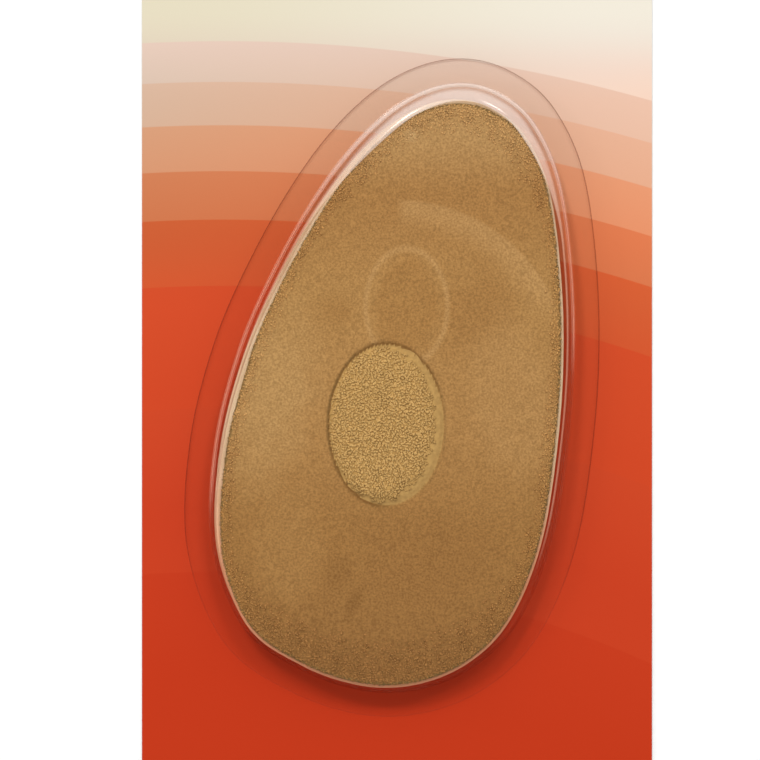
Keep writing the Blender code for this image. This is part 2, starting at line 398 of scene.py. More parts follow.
def spindles(name, centres, along, up, lengths, widths, curl, finish):
    """Small closed spindles as one mesh, each with two tips and four points round its bent middle."""
    side = np.cross(up, along)
    side /= np.linalg.norm(side, axis=1, keepdims=True)
    up = np.cross(along, side)
    half = lengths[:, None] / 2
    across = widths[:, None] / 2
    bent = centres + side * curl[:, None]
    corners = (
        centres - along * half,
        bent + side * across,
        bent + up * across,
        bent - side * across,
        bent - up * across,
        centres + along * half,
    )
    points = np.stack(corners, axis=1).reshape(-1, 3)
    pattern = [(0, 2, 1), (0, 3, 2), (0, 4, 3), (0, 1, 4), (5, 1, 2), (5, 2, 3), (5, 3, 4), (5, 4, 1)]
    offsets = np.arange(len(centres))[:, None, None] * len(corners)
    faces = (np.array(pattern)[None] + offsets).reshape(-1, 3)
    return mesh_object(name, points, faces, finish)


def finished(piece, nodes):
    """Hangs a piece under the root body, and hides the model's parts that it stands in for."""
    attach(piece, "root")
    if nodes:
        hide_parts(*nodes)
    return piece


# Materials


class Paint:
    """A material with a Principled shader, and short ways to add and link nodes."""

    def __init__(self, name):
        self.material = bpy.data.materials.new(name)
        self.material.use_nodes = True
        self.tree = self.material.node_tree
        self.shader = self.tree.nodes["Principled BSDF"]
        self.output = self.tree.nodes["Material Output"]
        coordinates = self.add("ShaderNodeTexCoord", {})
        self.place, self.normal = coordinates["Object"], coordinates["Normal"]

    def add(self, kind, inputs, **settings):
        """A new node's outputs, its settings set and its inputs fed by number or name."""
        node = self.tree.nodes.new(kind)
        for key, value in settings.items():
            setattr(node, key, value)
        for key, value in inputs.items():
            self.feed(node.inputs[key], value)
        return node.outputs

    def feed(self, socket, value):
        """Links a socket to an output, or sets it to a number or colour."""
        if isinstance(value, bpy.types.NodeSocket):
            self.tree.links.new(value, socket)
        elif isinstance(value, tuple) and len(value) == 3 and len(socket.default_value) == 4:
            socket.default_value = (*value, 1.0)
        else:
            socket.default_value = value

    def set(self, **values):
        for key, value in values.items():
            self.feed(self.shader.inputs[key.replace("_", " ")], value)

    def math(self, operation, *values):
        return self.add("ShaderNodeMath", dict(enumerate(values)), operation=operation)[0]

    def ramp(self, value, low, high, to_low=0.0, to_high=1.0, smooth=True):
        """The value moved from low..high to to_low..to_high, and held at the ends."""
        kind = "SMOOTHSTEP" if smooth else "LINEAR"
        inputs = dict(enumerate((value, low, high, to_low, to_high)))
        return self.add("ShaderNodeMapRange", inputs, interpolation_type=kind)[0]

    def between(self, value, begin, full, still, end):
        """1 from full to still, and fading to 0 at begin and at end."""
        return self.math("MULTIPLY", self.ramp(value, begin, full), self.ramp(value, end, still))

    def mix(self, factor, a, b, blend="MIX"):
        return self.add("ShaderNodeMix", {0: factor, 6: a, 7: b}, data_type="RGBA", blend_type=blend)[2]

    def mix_value(self, factor, a, b):
        return self.add("ShaderNodeMix", {0: factor, 2: a, 3: b}, data_type="FLOAT")[0]

    def stretched(self, up):
        """The object's coordinates, with those along the card scaled."""
        return self.add("ShaderNodeMapping", {"Vector": self.place, "Scale": (1.0, up, 1.0)})[0]

    def noise(self, size, detail=2.0, rough=0.5, place=None, twist=0.0):
        """Noise from 0 to 1 whose grains are about size across."""
        inputs = {"Vector": place or self.place, "Scale": 1.0 / size}
        inputs |= {"Detail": detail, "Roughness": rough, "Distortion": twist}
        return self.add("ShaderNodeTexNoise", inputs)["Fac"]

    def cells(self, size):
        inputs = {"Vector": self.place, "Scale": 1.0 / size}
        return self.add("ShaderNodeTexVoronoi", inputs)["Distance"]

    def axes(self):
        return self.add("ShaderNodeSeparateXYZ", {0: self.place})

    def tilt(self):
        """How far the surface leans from flat: 0 where it lies flat, and 1 where it stands upright."""
        upright = self.add("ShaderNodeSeparateXYZ", {0: self.normal})["Z"]
        return self.math("SUBTRACT", 1.0, self.math("ABSOLUTE", upright))

    def bump(self, height, depth, strength):
        inputs = {"Height": height, "Distance": depth, "Strength": strength}
        self.set(Normal=self.add("ShaderNodeBump", inputs)[0])

    def oval(self, centre, half_width, half_length, tilt=0.0):
        """Distance from an oval's middle as a share of the distance of its edge, on flat coordinates."""
        flat = self.add("ShaderNodeVectorMath", {0: self.place, 1: (1.0, 1.0, 0.0)}, operation="MULTIPLY")[0]
        inputs = {"Vector": flat, "Location": (*centre, 0.0), "Rotation": (0.0, 0.0, tilt)}
        inputs["Scale"] = (half_width, half_length, 1.0)
        shares = self.add("ShaderNodeMapping", inputs, vector_type="TEXTURE")[0]
        return self.add("ShaderNodeVectorMath", {0: shares}, operation="LENGTH")["Value"]


def srgb(red, green, blue):
    """A colour given as it shows on a screen, from 0 to 255, in the shader's linear values."""
    shares = [value / 255 for value in (red, green, blue)]
    return tuple(s / 12.92 if s <= 0.04045 else ((s + 0.055) / 1.055) ** 2.4 for s in shares)


# How bright the studio's light makes a flat white surface, and what the card's coat mirrors
LIGHT = 1.17
COAT_VEIL = 0.008


def seen(colour, veil=0.0):
    """The finish that shows on screen in the given colour, 0 to 255, where it lies flat in the light."""
    return tuple(min(max(value - veil, 0.001) / LIGHT, 0.95) for value in srgb(*colour))


def printed(colour):
    return seen(colour, veil=COAT_VEIL)


# The face's tone at heights over the dome's middle, in mm: painted shade, darker towards the heel and lighter
# at the toe, as the crowned face is lit from the toe's side
FACE_TONES_AND_SHADE = (
    (-52.0, (147, 105, 60)),
    (-24.0, (160, 117, 67)),
    (2.0, (174, 131, 79)),
    (24.0, (175, 133, 80)),
    (44.0, (168, 124, 73)),
    (57.0, (183, 143, 92)),
)

# Soft marks in the nap, from the dome's middle, in mm: brushed lighter or darker than the rest
NAP_MARKS = (
    # across, up, half width, half length, tilt, softness, colour, strength
    (17.0, 22.0, 11.0, 14.0, -30.0, 0.8, (160, 116, 66), 0.6),
    (-10.0, 22.0, 6.0, 5.0, 0.0, 0.8, (162, 119, 68), 0.5),
    (3.9, 22.9, 7.0, 10.6, 0.0, 0.3, (164, 120, 68), 0.6),
    (24.0, 5.0, 10.5, 19.0, 12.0, 0.5, (181, 139, 87), 0.6),
    (-22.0, 6.0, 12.0, 24.0, -14.0, 0.8, (188, 149, 96), 0.65),
    (-19.0, -23.0, 9.0, 15.0, 0.0, 0.6, (172, 130, 78), 0.5),
    (8.0, -26.0, 19.0, 13.0, 0.0, 0.7, (152, 109, 62), 0.5),
    (-9.5, -29.0, 4.0, 6.0, -20.0, 0.8, (138, 98, 54), 0.4),
    (-6.4, -34.5, 1.8, 4.6, -28.0, 0.9, (122, 84, 44), 0.4),
    (4.8, 56.0, 2.2, 2.0, 0.0, 0.9, (198, 164, 116), 0.4),
)

# The faint pale ring and the nap's crescent, from the dome's middle: the crescent is a part of a disc's rim,
# and begins at some way across and up
RING_MIDDLE = (3.9 * MM, 22.9 * MM)
RING_HALVES = (7.9 * MM, 11.2 * MM)
RING_SPREAD = 0.11
RING_STRENGTH = 0.5
ARC_NAP_MIDDLE = (2.0 * MM, 10.0 * MM)
ARC_NAP_HALF = 32.0 * MM
ARC_NAP_STRENGTH = 0.48
ARC_NAP_RIM = (0.84, 1.0, 1.03, 1.06)
ARC_NAP_ACROSS = (1.5 * MM, 4 * MM)
ARC_NAP_UP = (18 * MM, 28 * MM)
PALE_MARK_TONE = (194, 153, 100)
PRESSED_PILE = (186, 148, 90)
PATCH = (138, 98, 52)
PATCH_SIZE = 2.5 * MM
PATCH_STRENGTH = 0.12
RAGGED_SIZE = 4.0 * MM
RAGGED_SHARE = 0.5

# The painted shadow in the groove round the window: a thin dark line, weak on the lit side that
# WINDOW_LINE_WEAK points to
WINDOW_SHADOW_LINE = (112, 76, 38)
WINDOW_LINE_SHARE = 0.985
WINDOW_LINE_HALF = 0.045
WINDOW_LINE_STRENGTH = 0.7
WINDOW_LINE_LEAST = 0.15
WINDOW_LINE_WEAK = (0.9, -0.45)
WINDOW_LINE_FADE = (4 * MM, 9 * MM)


def pile_colour(paint, pad):
    """Brown pile, painted darker towards the heel as shade, with the nap's large marks of darker and lighter
    areas and a crescent, a faint pale ring, and a painted shadow line round the window.
    """
    middle = Vector(pad.middle)
    across, up, _ = paint.axes()
    # Painted shade: the face's tone darkens towards the heel and lightens at the toe
    colour = seen(FACE_TONES_AND_SHADE[0][1])
    for (low, _), (high, tone) in zip(FACE_TONES_AND_SHADE, FACE_TONES_AND_SHADE[1:]):
        colour = paint.mix(paint.ramp(up, middle.y + low * MM, middle.y + high * MM), colour, seen(tone))
    for side, height, half_width, half_length, tilt, soft, tone, strength in NAP_MARKS:
        centre = (middle.x + side * MM, middle.y + height * MM)
        share = paint.oval(centre, half_width * MM, half_length * MM, math.radians(tilt))
        uneven = paint.noise(RAGGED_SIZE, detail=3.0)
        ragged = paint.math("MULTIPLY_ADD", uneven, RAGGED_SHARE, -RAGGED_SHARE / 2)
        share = paint.math("ADD", share, ragged)
        colour = paint.mix(paint.ramp(share, 1.0, 1.0 - soft, 0.0, strength), colour, seen(tone))
    ring = paint.oval(middle + Vector(RING_MIDDLE), *RING_HALVES)
    near = paint.math("ABSOLUTE", paint.math("SUBTRACT", ring, 1.0))
    colour = paint.mix(paint.ramp(near, RING_SPREAD, 0.0, 0.0, RING_STRENGTH), colour, seen(PALE_MARK_TONE))
    arc = paint.oval(middle + Vector(ARC_NAP_MIDDLE), ARC_NAP_HALF, ARC_NAP_HALF)
    crescent = paint.between(arc, *ARC_NAP_RIM)
    begun = paint.ramp(across, *(middle.x + place for place in ARC_NAP_ACROSS))
    high_up = paint.ramp(up, *(middle.y + place for place in ARC_NAP_UP))
    crescent = paint.math("MULTIPLY", crescent, paint.math("MULTIPLY", begun, high_up))
    colour = paint.mix(paint.math("MULTIPLY", crescent, ARC_NAP_STRENGTH), colour, seen(PALE_MARK_TONE))
    patches = paint.noise(PATCH_SIZE, detail=4.0)
    colour = paint.mix(paint.ramp(patches, 0.35, 0.7, 0.0, PATCH_STRENGTH), colour, seen(PATCH))
    window = paint.oval(middle, WINDOW_WIDTH / 2, WINDOW_LENGTH / 2)
    colour = paint.mix(paint.ramp(window, 1.0, 0.95), colour, seen(PRESSED_PILE))
    # Painted shadow: a thin dark line in the groove round the window
    return paint.mix(window_shadow_line(paint, middle, window), colour, seen(WINDOW_SHADOW_LINE))


def window_shadow_line(paint, middle, share):
    """How dark the painted shadow line round the window is, least on its lit low right side."""
    near = paint.math("ABSOLUTE", paint.math("SUBTRACT", share, WINDOW_LINE_SHARE))
    line = paint.ramp(near, WINDOW_LINE_HALF, 0.0, 0.0, WINDOW_LINE_STRENGTH)
    across, up, _ = paint.axes()
    right, down = WINDOW_LINE_WEAK
    low_right = paint.math("MULTIPLY_ADD", up, down, paint.math("MULTIPLY", across, right))
    start = middle.x * right + middle.y * down
    fade = (start + place for place in WINDOW_LINE_FADE)
    weaker = paint.ramp(low_right, *fade, 1.0, WINDOW_LINE_LEAST)
    return paint.math("MULTIPLY", line, weaker)


# Each pile's grain, as (size of its flecks, their contrast, depth of its bumps)
FACE_GRAIN = (0.42 * MM, 0.22, 0.06 * MM)
WINDOW_GRAIN = (0.8 * MM, 0.09, 0.03 * MM)
EDGE_GRAIN = (0.6 * MM, 0.2, 0.03 * MM)
RIM_GRAIN = (0.4 * MM, 0.3, 0.06 * MM)

# The pile's tones: painted shade where it rolls down at the edge, deep and high in the window, painted shade
# at the cut edge, and how much brighter than the face the clumps near the edge are
ROLLED_PILE_SHADE = (140, 114, 70)
ROLLED_SHADE_STRENGTH = 0.6
DEEP_PILE = (197, 157, 94)
HIGH_PILE = (211, 171, 108)
RIM_PILE_SHADE = (152, 124, 78)
EDGE_PILE_LIFT = (1.36, 1.38, 1.42)

# How much of a grain's contrast its dark and light flecks have in red, green and blue
DARK_FLECKS = (1.0, 1.1, 1.25)
LIGHT_FLECKS = (1.0, 1.0, 0.9)

# The middle of the oval of coarse pile, from the window's. Beyond its right edge the pile is pressed smooth
COARSE_MIDDLE = (-1.3 * MM, 0.8 * MM)


def pile_finish(paint, colour, grain, detail=1.5):
    """Gives a pile its grain and its dull look."""
    fleck, contrast, depth = grain
    flecks = paint.noise(fleck, detail=detail, rough=0.65, twist=0.3)
    darker = tuple(1 - contrast * share for share in DARK_FLECKS)
    lighter = tuple(1 + contrast * share for share in LIGHT_FLECKS)
    tint = paint.mix(paint.ramp(flecks, 0.3, 0.7), darker, lighter)
    colour = paint.mix(1.0, colour, tint, blend="MULTIPLY")
    paint.set(Base_Color=colour, Roughness=0.95, Specular_IOR_Level=0.05)
    paint.bump(paint.noise(fleck * 0.8, detail=3.0, rough=0.7), depth, strength=0.7)
    return paint.material


def face_pile_material(pad):
    """Short pile brushed flat under the clear sheet."""
    paint = Paint("pile_on_face")
    # Painted shade: the face is darker where it rolls down at the edge
    rolled = paint.ramp(paint.tilt(), 0.01, 0.16, 0.0, ROLLED_SHADE_STRENGTH)
    colour = paint.mix(rolled, pile_colour(paint, pad), seen(ROLLED_PILE_SHADE))
    return pile_finish(paint, colour, FACE_GRAIN, detail=3.0)


def window_pile_material(name, pad, tone):
    """Longer pile standing in the window, smooth and pale along the window's right edge."""
    paint = Paint(name)
    coarse_middle = pad.middle + np.array(COARSE_MIDDLE)
    pressed = paint.oval(coarse_middle, WINDOW_WIDTH / 2, WINDOW_LENGTH / 2)
    colour = paint.mix(paint.ramp(pressed, 0.8, 1.02), seen(tone), seen(PRESSED_PILE))
    return pile_finish(paint, colour, WINDOW_GRAIN)


def edge_pile_material(pad):
    """Coarser pile near the cover's edge, of the face's colours."""
    paint = Paint("pile_at_edge")
    colour = paint.mix(1.0, pile_colour(paint, pad), EDGE_PILE_LIFT, blend="MULTIPLY")
    return pile_finish(paint, colour, EDGE_GRAIN)


def rim_pile_material():
    """Short pile at the cover's cut edge, dull and a little olive, painted darker as the shade at the edge.
    """
    paint = Paint("pile_at_rim")
    # Painted shade: the rim's pile is darker than the face
    return pile_finish(paint, seen(RIM_PILE_SHADE), RIM_GRAIN)


# The foam's cream tones, the peach that the red card throws on it near the heel, and the painted shade in its
# pores
FOAM_DARK = (226, 192, 152)
FOAM_LIGHT = (236, 206, 168)
FOAM_PEACH = (236, 152, 108)
FOAM_PORE_SHADE = (200, 164, 124)
PORE_SIZE = 0.25 * MM
PORE_DEPTH = 0.05 * MM
FOAM_PATCH = 5.0 * MM
PEACH_BAND = (-52 * MM, -18 * MM)
PEACH_STRENGTH = 0.85


def foam_material():
    """Cream latex foam with fine open pores."""
    paint = Paint("cream_foam")
    tone = paint.ramp(paint.noise(FOAM_PATCH, detail=2.0), 0.3, 0.7)
    colour = paint.mix(tone, seen(FOAM_DARK), seen(FOAM_LIGHT))
    _, up, _ = paint.axes()
    colour = paint.mix(paint.ramp(up, *PEACH_BAND, PEACH_STRENGTH, 0.0), colour, seen(FOAM_PEACH))
    pores = paint.ramp(paint.cells(PORE_SIZE), 0.12, 0.3)
    # Painted shade: the pores are darker than the foam round them
    colour = paint.mix(pores, seen(FOAM_PORE_SHADE), colour)
    paint.set(Base_Color=colour, Roughness=0.75, Specular_IOR_Level=0.25)
    paint.bump(pores, PORE_DEPTH, strength=0.6)
    return paint.material


# Shares of the light that each face of the clear sheet mirrors, and that it scatters where it is bent: partly
# the sheet's haze, partly painted reflections of the bright bends. The foot's streak is where the surface is
# under FOOT_TOP.
# Each haze grows from one height up the card to the other, the foot's along a slanting line, and is painted
# weaker towards the heel, where the sheet lies in the pads' shadow
MIRRORED = 0.008
MIRRORED_EDGE_ON = 0.4
SCATTERED_AT_FOOT = 0.34
SCATTERED_AT_HEEL = 0.12
SCATTERED_AT_SIDE = 0.16
SCATTERED_AT_TOE = 0.24
FOOT_TOP = 2.2 * MM
SHEET_ROUGHNESS = 0.12
TOE_HAZE = (14 * MM, 46 * MM)
FOOT_HAZE = (-24 * MM, -12 * MM)
FOOT_HAZE_LEAN = -0.39
SIDE_HAZE = (-10 * MM, 12 * MM)
HEEL_HAZE = (-50 * MM, -32 * MM)

# The tilts between which the foot, the steep shoulder and the slight shoulder are hazy. The last one's end,
# and where it begins to fade, lie further down at the toe
FOOT_TILTS = (0.1, 0.24, 0.34, 0.5)
BROW_TILTS = (0.4, 0.55, 0.85, 0.95)
SHOULDER_TILTS = (0.003, 0.006)
FADING_TILT = (0.025, 0.12)
LAST_TILT = (0.06, 0.36)

# Colours of the haze on flat and on steep places and at the toe: peach as a painted reflection of the red
# card under it, paler at the toe over the pale print; and of what passes flat and steep places
HAZE_FLAT_CARD_REFLECTION = (1.0, 0.62, 0.43)
HAZE_STEEP_CARD_REFLECTION = (1.0, 0.5, 0.35)
HAZE_AT_TOE_CARD_REFLECTION = (0.97, 0.86, 0.8)
THROUGH_FLAT = (0.997, 0.997, 0.995)
THROUGH_STEEP = (0.88, 0.84, 0.83)

# The trimmed edge: its dark colour and share, and what passes it near the heel and further up. The dark line
# is partly the edge seen edge-on and partly a painted shadow of the edge on the card, darker further up
CUT_EDGE_SHADE_TONE = (0.26, 0.15, 0.11)
CUT_EDGE_SHARE = 0.06
THROUGH_CUT_AT_HEEL = (0.93, 0.9, 0.9)
THROUGH_CUT = (0.68, 0.6, 0.58)
CUT_BAND = (-60 * MM, -30 * MM)


def clear_material():
    """Clear sheet: a faint mirror, with hazy streaks where it is bent, most at its foot and at the toe,
    partly haze and partly painted reflections tinted by the card.
    """
    paint = Paint("clear_sheet")
    across, up, out = paint.axes()
    tilt = paint.tilt()
    toe = paint.ramp(up, *TOE_HAZE)
    # The foot's streak ends lower on the left than on the right
    at_foot = paint.ramp(paint.math("MULTIPLY_ADD", across, FOOT_HAZE_LEAN, up), *FOOT_HAZE)
    at_foot = paint.math("MULTIPLY", at_foot, SCATTERED_AT_FOOT)
    foot = paint.math("MULTIPLY", paint.between(tilt, *FOOT_TILTS), at_foot)
    brow = paint.math("MULTIPLY", paint.between(tilt, *BROW_TILTS), at_foot)
    fading, last = paint.mix_value(toe, *FADING_TILT), paint.mix_value(toe, *LAST_TILT)
    slight = paint.between(tilt, *SHOULDER_TILTS, fading, last)
    # Painted light: the haze is weaker towards the heel, where the sheet lies in the pads' shadow, and
    # strongest at the toe
    strength = paint.mix_value(paint.ramp(up, *SIDE_HAZE), SCATTERED_AT_HEEL, SCATTERED_AT_SIDE)
    strength = paint.mix_value(toe, strength, SCATTERED_AT_TOE)
    strength = paint.math("MULTIPLY", strength, paint.ramp(up, *HEEL_HAZE))
    shoulder = paint.math("MULTIPLY_ADD", slight, strength, brow)
    is_shoulder = paint.ramp(out, FOOT_TOP, FOOT_TOP + 0.3 * MM)
    scattered_share = paint.mix_value(is_shoulder, foot, shoulder)
    facing = paint.add("ShaderNodeLayerWeight", {"Blend": 0.5})["Facing"]
    grazing = paint.math("POWER", facing, 5.0)
    mirrored_share = paint.math("MULTIPLY_ADD", grazing, MIRRORED_EDGE_ON, MIRRORED)
    share = paint.math("ADD", scattered_share, mirrored_share)
    # Painted reflection: the haze takes the red card's peach, paler at the toe
    tone = paint.mix(paint.ramp(tilt, 0.1, 0.2), HAZE_FLAT_CARD_REFLECTION, HAZE_STEEP_CARD_REFLECTION)
    tone = paint.mix(toe, tone, HAZE_AT_TOE_CARD_REFLECTION)
    mirror = paint.math("DIVIDE", mirrored_share, share)
    paint.set(Base_Color=tone, Metallic=mirror, Roughness=SHEET_ROUGHNESS, Specular_IOR_Level=0.0)
    return see_through(paint, share, paint.mix(paint.ramp(tilt, 0.5, 0.95), THROUGH_FLAT, THROUGH_STEEP))


def see_through(paint, share, clear):
    """Lets light of the clear colour through, but for the share that the finish gives back."""
    through = paint.add("ShaderNodeBsdfTransparent", {"Color": clear})[0]
    mixed_light = paint.add("ShaderNodeMixShader", {0: share, 1: through, 2: paint.shader.outputs[0]})[0]
    paint.feed(paint.output.inputs["Surface"], mixed_light)
    return paint.material


def cut_edge_material():
    """The clear sheet's trimmed edge, a thin dark line, partly painted shadow, that fades towards the heel.
    """
    paint = Paint("sheet_cut_edge")
    _, up, _ = paint.axes()
    upper = paint.ramp(up, *CUT_BAND)
    paint.set(Base_Color=CUT_EDGE_SHADE_TONE, Roughness=0.3, Specular_IOR_Level=0.15)
    return see_through(paint, CUT_EDGE_SHARE, paint.mix(upper, THROUGH_CUT_AT_HEEL, THROUGH_CUT))


# The card's print: arcs round one point below the card, each band with its colours, the outermost first
ARC_MIDDLE = (-34.0 * MM, -250.0 * MM)
ARC_BANDS = (
    # height over the card's middle in mm, colour at the arc's edge, colour further in
    (57.0, (227, 200, 184), (222, 188, 166)),
    (49.0, (224, 184, 160), (222, 172, 142)),
    (40.5, (224, 160, 124), (224, 144, 104)),
    (31.5, (218, 130, 88), (216, 112, 68)),
    (22.0, (214, 98, 55), (213, 84, 46)),
    (9.0, (213, 79, 43), (211, 74, 40)),
    (-15.0, (209, 74, 41), (205, 67, 37)),
    (-47.0, (202, 63, 34), (199, 60, 31)),
)
BAND_FADE = 20.0 * MM
BAND_EDGE = 0.1 * MM
CARD_SIDES = (-50 * MM, 50 * MM)

# The print over the arcs, as its tones at the left and at the right: at the top, and the blush below that
PRINT_TOP = ((225, 216, 190), (238, 231, 216))
PRINT_BLUSH = ((222, 203, 184), (236, 219, 207))
BLUSH_BAND = (64 * MM, 50 * MM)

# What the print is multiplied by at the left and at the right, between these heights
PRINT_SIDES = ((0.89, 0.95, 0.95), (1.09, 0.93, 0.84))
SIDES_BAND = (4 * MM, 20 * MM, 44 * MM, 60 * MM)
BOARD_TONES = ((205, 203, 198), (233, 231, 226))
BOARD_ROUGHNESS = 0.85
PRINT_ROUGHNESS = 0.42


def card_material(face_height):
    """Printed and coated on the face, and plain grey-white board on the back and at the cut edges."""
    paint = Paint("printed_board")
    across, up, out = paint.axes()
    rightwards = paint.ramp(across, *CARD_SIDES)
    top = paint.mix(rightwards, *(printed(tone) for tone in PRINT_TOP))
    blush = paint.mix(rightwards, *(printed(tone) for tone in PRINT_BLUSH))
    colour = paint.mix(paint.ramp(up, *BLUSH_BAND), top, blush)
    reach = paint.oval(ARC_MIDDLE, 1.0, 1.0)
    for height, edge, deep in ARC_BANDS:
        inside = paint.math("SUBTRACT", height * MM - ARC_MIDDLE[1], reach)
        band = paint.mix(paint.ramp(inside, 0.0, BAND_FADE, smooth=False), printed(edge), printed(deep))
        colour = paint.mix(paint.ramp(inside, -BAND_EDGE, BAND_EDGE), colour, band)
    side = paint.mix(paint.ramp(across, *CARD_SIDES, smooth=False), *PRINT_SIDES)
    sided = paint.mix(1.0, colour, side, blend="MULTIPLY")
    colour = paint.mix(paint.between(up, *SIDES_BAND), colour, sided)
    fibres = paint.noise(0.5 * MM, detail=3.0, place=paint.stretched(0.3))
    board = paint.mix(fibres, *(seen(tone) for tone in BOARD_TONES))
    face = paint.ramp(out, face_height - 0.06 * MM, face_height - 0.03 * MM)
    roughness = paint.ramp(face, 0.0, 1.0, BOARD_ROUGHNESS, PRINT_ROUGHNESS)
    paint.set(Base_Color=paint.mix(face, board, colour), Roughness=roughness, Specular_IOR_Level=0.15)
    paint.bump(paint.noise(0.35 * MM, detail=4.0), 0.02 * MM, strength=0.2)
    return paint.material


def floor_material():
    paint = Paint("pale_floor")
    tone = paint.noise(60 * MM, detail=2.0)
    paint.set(Base_Color=paint.mix(tone, (0.88, 0.88, 0.88), (0.9, 0.9, 0.9)), Roughness=0.9)
    return paint.material


# Pieces


def foam_piece(name, pad, node, finish):
    """The cushion: flat below, crowned above, with a side that bulges a little."""
    length, height = FOAM_WAVES
    rings = []
    for share in np.linspace(FIRST_RING, LAST_FOAM_RING, FACE_STEPS):
        rings.append(pad.placed(pad.outline * share, np.zeros(SPOKES)))
    for step in range(FOAM_SIDE_STEPS + 1):
        angle = math.pi * (step / FOAM_SIDE_STEPS - 0.5)
        bulge = FOAM_BULGE + ripple(pad.outline, length, seed=step) * height
        xy = pad.outline + pad.normals * (bulge * math.cos(angle))[:, None]
        up = CUSHION_EDGE_THICK / 2 * (1 + math.sin(angle))
        rings.append(pad.placed(xy, np.full(SPOKES, up)))
    for share in np.linspace(LAST_FOAM_RING, FIRST_RING, FACE_STEPS):
        xy = pad.outline * share
        rings.append(pad.placed(xy, pad.cushion_top(xy)))
    piece = lofted(name, rings, finish, turned=pad.side < 0)
    return finished(piece, [node])


def cover_piece(name, pad, node, finishes):
    """The cover's backing and the thick of its pile, with an uneven face and another finish in the window."""
    outline = pad.cover_outline
    under_rings = [outline * share for share in np.linspace(FIRST_RING, 1.0, FACE_STEPS)]
    rings = [pad.placed(xy, pad.cushion_top(xy) + UNDERSIDE_GAP) for xy in under_rings]
    shares = 1 - np.linspace(0.0, 1.0, COVER_STEPS) ** COVER_CROWDING
    for share in shares[shares > LAST_COVER_RING]:
        xy = outline * share
        fine = ripple(xy, FINE_FACE_WAVES[0], seed=3) * FINE_FACE_WAVES[1]
        wide = ripple(xy, WIDE_FACE_WAVES[0], seed=4) * WIDE_FACE_WAVES[1]
        rings.append(pad.placed(xy, pad.cover_top(xy) - PILE_DEPTH + fine + wide))
    piece = lofted(name, rings, finishes[0], turned=pad.side < 0)
    if len(finishes) > 1:
        in_window(piece, pad, finishes[1])
    return finished(piece, [node])


def in_window(piece, pad, finish):
    """Gives the faces inside the window another finish."""
    piece.data.materials.append(finish)
    centres = np.empty(len(piece.data.polygons) * 3)
    piece.data.polygons.foreach_get("center", centres)
    inside = window_share(centres.reshape(-1, 3)[:, :2] - pad.middle) < GROOVE_SHARE
    piece.data.polygons.foreach_set("material_index", inside.astype(np.int32))


def scattered(pad, spacing, seed, keep):
    """Flat points over the pad, about spacing apart, where keep says so."""
    rng = np.random.default_rng(seed)
    low, high = pad.outline.min(axis=0), pad.outline.max(axis=0)
    columns = np.arange(low[0], high[0], spacing)
    rows = np.arange(low[1], high[1], spacing)
    grid = np.stack(np.meshgrid(columns, rows), axis=-1).reshape(-1, 2)
    grid = grid + rng.uniform(-0.5, 0.5, grid.shape) * spacing
    return grid[keep(grid, rng)]


# Each pile's clumps: distance from one to the next, length, width, how far a clump's middle stands over the
# face, its lean out of the face, and the most that it bends, as a share of its length
WINDOW_CLUMPS = (0.44 * MM, 0.9 * MM, 0.45 * MM, 0.04 * MM, 0.06, 0.1)
EDGE_CLUMPS = (0.42 * MM, 0.7 * MM, 0.4 * MM, -0.1 * MM, 0.03, 0.1)
RIM_CLUMPS = (0.2 * MM, 0.45 * MM, 0.18 * MM, -0.15 * MM, -0.1, 0.3)
HEADING_SPREAD = 0.6
LEAN_SPREAD = 0.2
LEAN_LIMITS = (-0.2, 1.3)
LIFT_SPREAD = (0.2, 1.0)
SIZE_SPREAD = (0.7, 1.3)

# The window's pile: the shares where it begins to be pressed smooth and where it is, how far their oval is
# shifted, how far out clumps stand, and where and how many of them lie lengthwise
PRESSED_SHARES = (0.87, 0.99)
PRESSED_SIDE = np.array((1.35, -0.3)) * MM
WINDOW_PILE_SHARE = 0.95
LENGTHWISE_BAND = (-2.0 * MM, -9.0 * MM)
LENGTHWISE_SHARE = 0.8

# The edge's pile: how wide its band is, how much wider at the heel and at the toe, where that begins and
# where it is full, the share of clumps that stay at the edge, and how far they stay off it
EDGE_BAND = 3.4 * MM
EDGE_BAND_AT_HEEL = 7.5 * MM
EDGE_BAND_AT_TOE = 3.4 * MM
HEEL_BAND = (-20.0 * MM, -45.0 * MM)
TOE_BAND = (35.0 * MM, 50.0 * MM)
EDGE_MOST = 0.9
EDGE_CLEAR = 0.15 * MM

# How far inside the cover's edge the rim's pile begins and ends
RIM_FROM = -0.02 * MM
RIM_TO = 0.4 * MM


def pile_piece(name, pad, xy, seed, clumps, finish, heading=None):
    """Fibre clumps standing or lying on the cover's face, each pointing about the way of its heading."""
    _, length, width, lift, lean, bend = clumps
    rng = np.random.default_rng(seed)
    count = len(xy)
    turn = rng.uniform(0, 2 * math.pi, count)
    if heading is not None:
        turn = heading + rng.normal(0.0, HEADING_SPREAD, count)
    tilt = np.clip(rng.normal(lean, LEAN_SPREAD, count), *LEAN_LIMITS)
    along = np.column_stack([np.cos(turn) * np.cos(tilt), np.sin(turn) * np.cos(tilt), np.sin(tilt)])
    along[:, 2] *= pad.side
    up = np.tile((0.0, 0.0, float(pad.side)), (count, 1))
    centres = pad.placed(xy, pad.cover_top(xy) + lift * rng.uniform(*LIFT_SPREAD, count))
    lengths = length * rng.uniform(*SIZE_SPREAD, count)
    widths = width * rng.uniform(*SIZE_SPREAD, count)
    curl = lengths * rng.uniform(-bend, bend, count)
    piece = spindles(name, centres, along, up, lengths, widths, curl, finish)
    return finished(piece, [])


